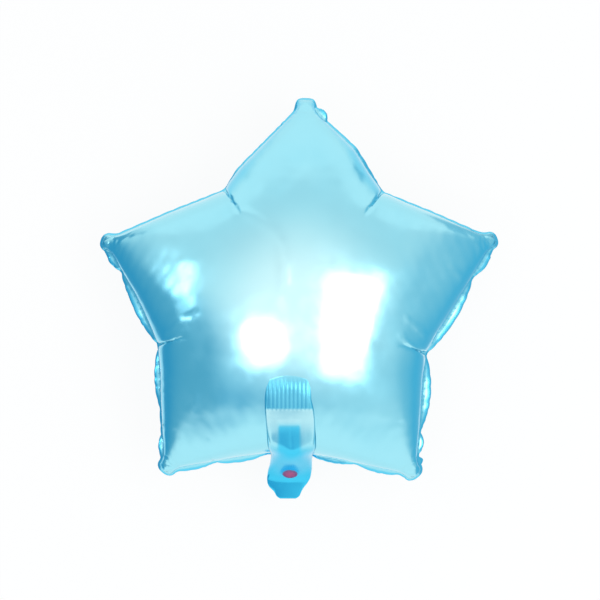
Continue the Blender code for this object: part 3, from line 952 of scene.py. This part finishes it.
def foil_material(name, printed=False):
    """Tinted mirror film with fine unevenness, and with a printed mark if asked for.
    Its colour follows the tint attribute, which holds painted highlights and painted shade.
    """
    material = bpy.data.materials.new(name)
    material.use_nodes = True
    wire = Wiring(material.node_tree)
    shader = wire.nodes["Principled BSDF"].inputs
    place = wire.place("Object")
    # The tint attribute holds painted highlights and painted shade besides the film's own tint
    tint_and_painted_light = wire.nodes.new("ShaderNodeAttribute")
    tint_and_painted_light.attribute_name = "tint_and_painted_light"
    cloud = wire.noise(place, *CLOUD_NOISE)
    uneven = wire.math("MULTIPLY", wire.math("SUBTRACT", cloud, 0.5), TINT_NOISE)
    colour = wire.ramp(wire.math("ADD", tint_and_painted_light.outputs["Fac"], uneven), TINT_COLOURS)
    rough = wire.step(wire.noise(place, *ROUGH_NOISE), 0.3, 0.7, *ROUGHNESS)
    shader["Metallic"].default_value = 1.0
    if printed:
        x, y = wire.split(place)[:2]
        across = wire.math("SUBTRACT", x, MARK_MIDDLE[0])
        across = wire.math("DIVIDE", across, MARK_SIZE[0] / 2.0)
        up = wire.math("SUBTRACT", y, MARK_MIDDLE[1])
        up = wire.math("DIVIDE", up, MARK_SIZE[1] / 2.0)
        round_off = wire.math("ADD", wire.math("POWER", across, 2.0), wire.math("POWER", up, 2.0))
        ragged = wire.math("SUBTRACT", wire.noise(place, *RAGGED_NOISE), 0.5)
        ragged = wire.math("MULTIPLY", ragged, 0.9)
        round_off = wire.math("ADD", round_off, ragged)
        top = wire.nodes.new("ShaderNodeAttribute")
        top.attribute_name = "top"
        ink = wire.math("MULTIPLY", wire.step(round_off, 1.15, 0.85), top.outputs["Fac"])
        speckle = wire.math("MULTIPLY", round_off, 0.25)
        speckle = wire.math("ADD", wire.noise(place, *SPECKLE_NOISE), speckle)
        ink_colour = wire.mix(wire.step(speckle, 0.52, 0.72), MARK_COLOUR, MARK_RIM)
        colour = wire.mix(ink, colour, ink_colour)
        rough = wire.mix_value(ink, rough, INK_ROUGHNESS)
        wire.feed(shader["Metallic"], wire.mix_value(ink, 1.0, INK_METALLIC))
    wire.feed(shader["Base Color"], colour)
    wire.feed(shader["Roughness"], rough)
    bump = wire.nodes.new("ShaderNodeBump")
    bump.inputs["Strength"].default_value = BUMP_STRENGTH
    bump.inputs["Distance"].default_value = BUMP_HEIGHT
    wire.feed(bump.inputs["Height"], wire.noise(place, *BUMP_NOISE))
    wire.feed(shader["Normal"], bump.outputs["Normal"])
    return material


def floor():
    """White floor. In reflections it is white under the object and in a wedge along the
    picture's height, and dim blue to the left and right of that."""
    mesh = bpy.data.meshes.new("floor")
    size = FLOOR_HALF
    corners = [(-size, -size, 0.0), (size, -size, 0.0), (size, size, 0.0), (-size, size, 0.0)]
    mesh.from_pydata(corners, [], [(0, 1, 2, 3)])
    obj = bpy.data.objects.new("floor", mesh)
    bpy.context.scene.collection.objects.link(obj)
    material = bpy.data.materials.new("white_floor")
    material.use_nodes = True
    nodes = material.node_tree.nodes
    shader = nodes["Principled BSDF"]
    shader.inputs["Base Color"].default_value = FLOOR_COLOUR
    shader.inputs["Roughness"].default_value = FLOOR_ROUGHNESS
    wire = Wiring(material.node_tree)
    path = nodes.new("ShaderNodeLightPath").outputs
    x, y = wire.split(wire.place("Object"))[:2]
    aside = wire.math("ABSOLUTE", wire.math("SUBTRACT", x, SHEET_MIDDLE))
    along = wire.math("SUBTRACT", wire.math("ABSOLUTE", y), SHEET_EDGE)
    along = wire.math("MAXIMUM", along, 0.0)
    off = wire.step(wire.math("SUBTRACT", aside, along), SHEET_EDGE, SHEET_EDGE + SHEET_FADE)
    beyond = wire.math("MULTIPLY", off, path["Is Glossy Ray"])
    glow = nodes.new("ShaderNodeEmission")
    side = wire.mix(wire.step(x, -0.1, 0.1), ENV_LEFT, ENV_RIGHT)
    wire.feed(glow.inputs["Color"], wire.mix(beyond, SHEET_WHITE, side))
    seen = wire.math("MULTIPLY", path["Is Camera Ray"], FLOOR_GLOW)
    seen = wire.math("MAXIMUM", seen, path["Is Glossy Ray"])
    mix = nodes.new("ShaderNodeMixShader")
    wire.feed(mix.inputs[0], seen)
    wire.feed(mix.inputs[1], shader.outputs[0])
    wire.feed(mix.inputs[2], glow.outputs[0])
    wire.feed(nodes["Material Output"].inputs["Surface"], mix.outputs[0])
    mesh.materials.append(material)


def soft_box(name, place, aim, size, watts, shape):
    light = bpy.data.lights.new(name, "AREA")
    light.shape = shape
    light.size = size[0]
    light.size_y = size[1]
    light.energy = watts
    obj = bpy.data.objects.new(name, light)
    obj.location = place
    obj.rotation_euler = (Vector(aim) - Vector(place)).to_track_quat("-Z", "Y").to_euler()
    bpy.context.scene.collection.objects.link(obj)


class Wiring:
    """Short calls for the nodes of a material or world."""

    def __init__(self, tree):
        self.nodes = tree.nodes
        self.links = tree.links

    def feed(self, socket, value):
        if isinstance(value, bpy.types.NodeSocket):
            self.links.new(value, socket)
        else:
            socket.default_value = value

    def math(self, operation, *values):
        node = self.nodes.new("ShaderNodeMath")
        node.operation = operation
        for socket, value in zip(node.inputs, values):
            self.feed(socket, value)
        return node.outputs[0]

    def step(self, value, low, high, start=0.0, end=1.0):
        node = self.nodes.new("ShaderNodeMapRange")
        node.interpolation_type = "SMOOTHSTEP"
        for socket, given in zip(node.inputs, (value, low, high, start, end)):
            self.feed(socket, given)
        return node.outputs[0]

    def mix(self, share, one, two):
        node = self.nodes.new("ShaderNodeMix")
        node.data_type = "RGBA"
        self.feed(node.inputs[0], share)
        self.feed(node.inputs[6], one)
        self.feed(node.inputs[7], two)
        return node.outputs[2]

    def mix_value(self, share, one, two):
        node = self.nodes.new("ShaderNodeMix")
        for socket, value in zip(node.inputs[:1] + node.inputs[2:4], (share, one, two)):
            self.feed(socket, value)
        return node.outputs[0]

    def ramp(self, value, stops):
        node = self.nodes.new("ShaderNodeValToRGB")
        elements = node.color_ramp.elements
        for k, (place, colour) in enumerate(stops):
            stop = elements[k] if k < 2 else elements.new(place)
            stop.position = place
            stop.color = colour
        self.feed(node.inputs[0], value)
        return node.outputs[0]

    def noise(self, vector, scale, detail):
        node = self.nodes.new("ShaderNodeTexNoise")
        self.feed(node.inputs["Vector"], vector)
        self.feed(node.inputs["Scale"], scale)
        self.feed(node.inputs["Detail"], detail)
        return node.outputs["Fac"]

    def place(self, kind):
        return self.nodes.new("ShaderNodeTexCoord").outputs[kind]

    def split(self, vector):
        node = self.nodes.new("ShaderNodeSeparateXYZ")
        self.feed(node.inputs[0], vector)
        return node.outputs


def world():
    """Studio: white to the camera. Reflections show a bright overhead, pale walls up and down
    the picture, and dim blue sides."""
    studio = bpy.data.worlds.new("studio")
    bpy.context.scene.world = studio
    studio.use_nodes = True
    wire = Wiring(studio.node_tree)
    x, y, z = wire.split(wire.place("Generated"))
    along = wire.math("MAXIMUM", wire.math("ABSOLUTE", y), 0.001)
    rise = wire.math("DIVIDE", z, along)
    wide = wire.math("DIVIDE", wire.math("ABSOLUTE", x), along)
    wall = wire.math("MULTIPLY", wire.step(rise, *WALL_RISE), wire.step(wide, *WALL_WIDTH))
    flat = wire.math("MULTIPLY", x, OVERHEAD_STRETCH)
    squares = [wire.math("MULTIPLY", part, part) for part in (flat, y)]
    off = wire.math("SQRT", wire.math("ADD", *squares))
    low = wire.mix(wire.step(x, *LOW_SPREAD), ENV_LOW_LEFT, ENV_LOW_RIGHT)
    around = wire.mix(wire.step(y, *TOP_SPREAD), low, ENV_TOP)
    colour = wire.mix(wire.step(off, *OVERHEAD_SPREAD), around, ENV_OVERHEAD)
    leftward = wire.math("MULTIPLY", x, -1.0)
    leftward = wire.math("SUBTRACT", leftward, wire.math("MULTIPLY", y, LEFT_TURN))
    colour = wire.mix(wire.step(leftward, *LEFT_SPREAD), colour, ENV_LEFT)
    colour = wire.mix(wire.step(x, *RIGHT_SPREAD), colour, ENV_RIGHT)
    colour = wire.mix(wall, colour, ENV_WALL)
    path = wire.nodes.new("ShaderNodeLightPath").outputs
    colour = wire.mix(path["Is Camera Ray"], colour, SHEET_WHITE)
    wire.feed(wire.nodes["Background"].inputs["Color"], colour)


def camera():
    data = bpy.data.cameras.new("camera")
    data.sensor_width = SENSOR_WIDTH
    data.lens = SENSOR_WIDTH * CAMERA_DISTANCE / CAMERA_WIDTH
    obj = bpy.data.objects.new("camera", data)
    obj.location = (*CAMERA_PLACE, CAMERA_DISTANCE + THICKNESS / 2.0)
    bpy.context.scene.collection.objects.link(obj)
    bpy.context.scene.camera = obj


def main():
    bpy.context.scene.view_settings.view_transform = "Standard"
    camera()
    world()
    for lamp in LAMPS:
        soft_box(*lamp)
    floor()
    bag = Bag()
    bag.settle()
    points, quads, depth = film_skin(bag)
    film = add_object("foil_film", points, quads, foil_material("tinted_foil"))
    # The tint holds painted highlights and painted shade as well as the film's own colour
    set_value(film, "tint_and_painted_light", film_painted_light(points, quads, depth))
    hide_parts("foil_envelope")
    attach(film, "root")
    strip, strip_faces = band_skin((points, quads))
    printed = foil_material("printed_foil", printed=True)
    band = add_object("valve_and_tail", strip, strip_faces, printed)
    # The band's tint also holds painted highlights and painted shade
    set_value(band, "tint_and_painted_light", band_tint_and_painted_light(strip))
    set_value(band, "top", np.arange(len(strip)) < len(strip) // 2)
    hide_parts("foil_envelope")
    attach(band, "root")


main()
